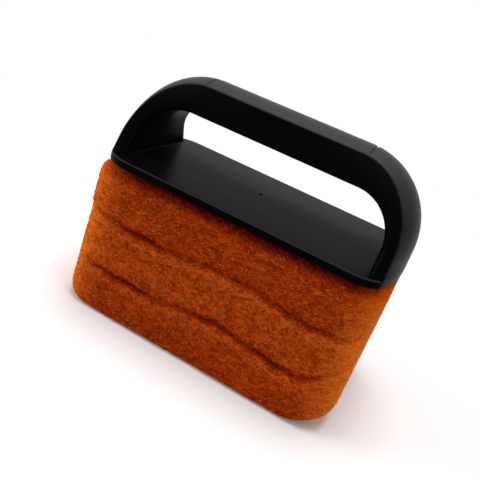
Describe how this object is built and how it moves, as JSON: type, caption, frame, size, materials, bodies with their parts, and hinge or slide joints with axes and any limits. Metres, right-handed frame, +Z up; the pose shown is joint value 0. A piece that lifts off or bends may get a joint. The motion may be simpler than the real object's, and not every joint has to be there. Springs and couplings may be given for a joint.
{
  "type": "scouring pad with handle",
  "caption": "Thick block of non-woven abrasive gripped by a moulded base plate with a D-shaped grip, for scrubbing flat cooking surfaces.",
  "frame": {"origin": "middle of the pad's underside, on the surface that it stands on", "axes": "+X along the grip, the length of the pad; +Z up, from the pad to the grip; -Y is the front in the picture"},
  "size_m": [0.15, 0.0816, 0.1237],
  "materials": {
    "abrasive_web": "matte, lofty non-woven fibre with grit",
    "handle_plastic": "satin black moulding",
    "hook_tape": "matte, short stiff hooks"
  },
  "bodies": {
    "root": {"pad": "abrasive_web", "handle": "handle_plastic", "hook_sheet": "hook_tape"}
  },
  "joints": []
}
